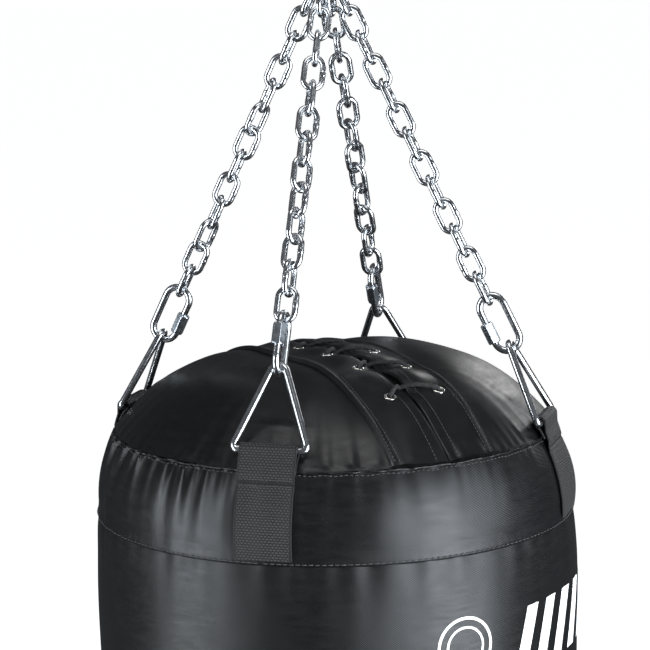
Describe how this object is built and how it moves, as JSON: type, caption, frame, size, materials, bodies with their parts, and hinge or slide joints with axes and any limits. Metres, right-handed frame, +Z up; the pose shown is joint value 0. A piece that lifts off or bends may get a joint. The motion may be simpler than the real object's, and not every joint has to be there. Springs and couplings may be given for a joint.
{
  "type": "hanging punching bag",
  "caption": "Filled cylindrical punching bag with a laced domed top, hung on chain legs, quick links and triangle rings from a swivel.",
  "frame": {"origin": "centre of the bore in the swivel's eye, where the bag is hung up", "axes": "+Z up along the hanging bag; -Y towards the front ring, +X towards the right ring"},
  "size_m": [0.4201, 0.42, 1.599],
  "materials": {
    "plated_steel": "polished",
    "sleeve_steel": "satin",
    "bearing_steel": "polished",
    "eyelet_metal": "polished",
    "vinyl": "satin",
    "piping": "satin",
    "webbing": "matte",
    "lace": "matte",
    "filling": "matte"
  },
  "bodies": {
    "hanger_eye": {"swivel_eye": "plated_steel", "swivel_nut": "plated_steel", "split_pin": "plated_steel", "bearing_race": "plated_steel", "bearing_balls": "bearing_steel"},
    "bow": {"swivel_bow": "plated_steel", "bearing_cap": "plated_steel"},
    "ring_front": {"ring_front": "plated_steel"},
    "leg_front": {"chain_front": "plated_steel", "quick_link_front": "plated_steel"},
    "sleeve_front": {"sleeve_front": "sleeve_steel"},
    "ring_right": {"ring_right": "plated_steel"},
    "leg_right": {"chain_right": "plated_steel", "quick_link_right": "plated_steel"},
    "sleeve_right": {"sleeve_right": "sleeve_steel"},
    "ring_back": {"ring_back": "plated_steel"},
    "leg_back": {"chain_back": "plated_steel", "quick_link_back": "plated_steel"},
    "sleeve_back": {"sleeve_back": "sleeve_steel"},
    "ring_left": {"ring_left": "plated_steel"},
    "leg_left": {"chain_left": "plated_steel", "quick_link_left": "plated_steel"},
    "sleeve_left": {"sleeve_left": "sleeve_steel"},
    "bag": {"strap_front": "webbing", "strap_right": "webbing", "strap_back": "webbing", "strap_left": "webbing", "top_panel": "vinyl", "slit_tongue": "vinyl", "flap_left": "vinyl", "flap_right": "vinyl", "eyelets_left": "eyelet_metal", "eyelets_right": "eyelet_metal", "lace": "lace", "collar_band": "vinyl", "upper_piping": "piping", "lower_piping": "piping", "main_shell": "vinyl", "back_seam_strip": "vinyl", "bottom_panel": "vinyl", "bottom_piping": "piping", "filling": "filling"}
  },
  "joints": [
    {"name": "swivel_spin", "type": "hinge", "parent": "hanger_eye", "child": "bow", "pos_m": [0, 0, 0], "axis": [0, 0, 1], "continuous": true},
    {"name": "bag_swing", "type": "hinge", "parent": "bow", "child": "bag", "pos_m": [0, 0, -0.066], "axis": [1, 0, 0], "range_deg": [-35, 35]},
    {"name": "ring_front_tilt", "type": "hinge", "parent": "bag", "child": "ring_front", "pos_m": [0, -0.182, -0.4205], "axis": [1, 0, 0], "range_deg": [-4, 4], "stiffness_Nm_per_rad": 30},
    {"name": "leg_front_tilt", "type": "hinge", "parent": "ring_front", "child": "leg_front", "pos_m": [-0.00046, -0.1514, -0.3609], "axis": [1, 0, 0], "range_deg": [-5, 5]},
    {"name": "sleeve_front_slide", "type": "slide", "parent": "leg_front", "child": "sleeve_front", "axis": [0.0069, -0.4567, -0.8896], "range_m": [0, 0.009]},
    {"name": "ring_right_tilt", "type": "hinge", "parent": "bag", "child": "ring_right", "pos_m": [0.18604, 0, -0.424], "axis": [0, 1, 0], "range_deg": [-4, 4], "stiffness_Nm_per_rad": 30},
    {"name": "leg_right_tilt", "type": "hinge", "parent": "ring_right", "child": "leg_right", "pos_m": [0.15661, 0, -0.36381], "axis": [0, 1, 0], "range_deg": [-5, 5]},
    {"name": "sleeve_right_slide", "type": "slide", "parent": "leg_right", "child": "sleeve_right", "axis": [-0.4392, 0, 0.8984], "range_m": [0, 0.009]},
    {"name": "ring_back_tilt", "type": "hinge", "parent": "bag", "child": "ring_back", "pos_m": [0, 0.182, -0.4205], "axis": [-1, 0, 0], "range_deg": [-4, 4], "stiffness_Nm_per_rad": 30},
    {"name": "leg_back_tilt", "type": "hinge", "parent": "ring_back", "child": "leg_back", "pos_m": [0.00046, 0.1514, -0.3609], "axis": [-1, 0, 0], "range_deg": [-5, 5]},
    {"name": "sleeve_back_slide", "type": "slide", "parent": "leg_back", "child": "sleeve_back", "axis": [-0.0069, 0.4567, -0.8896], "range_m": [0, 0.009]},
    {"name": "ring_left_tilt", "type": "hinge", "parent": "bag", "child": "ring_left", "pos_m": [-0.18604, 0, -0.424], "axis": [0, -1, 0], "range_deg": [-4, 4], "stiffness_Nm_per_rad": 30},
    {"name": "leg_left_tilt", "type": "hinge", "parent": "ring_left", "child": "leg_left", "pos_m": [-0.15661, 0, -0.36381], "axis": [0, -1, 0], "range_deg": [-5, 5]},
    {"name": "sleeve_left_slide", "type": "slide", "parent": "leg_left", "child": "sleeve_left", "axis": [0.4392, 0, 0.8984], "range_m": [0, 0.009]}
  ],
  "couplings": [
    {"joint": "leg_front_tilt", "follows": "ring_front_tilt", "ratio": -1.2021},
    {"joint": "leg_right_tilt", "follows": "ring_right_tilt", "ratio": -1.2021},
    {"joint": "leg_back_tilt", "follows": "ring_back_tilt", "ratio": -1.2021},
    {"joint": "leg_left_tilt", "follows": "ring_left_tilt", "ratio": -1.2021}
  ]
}
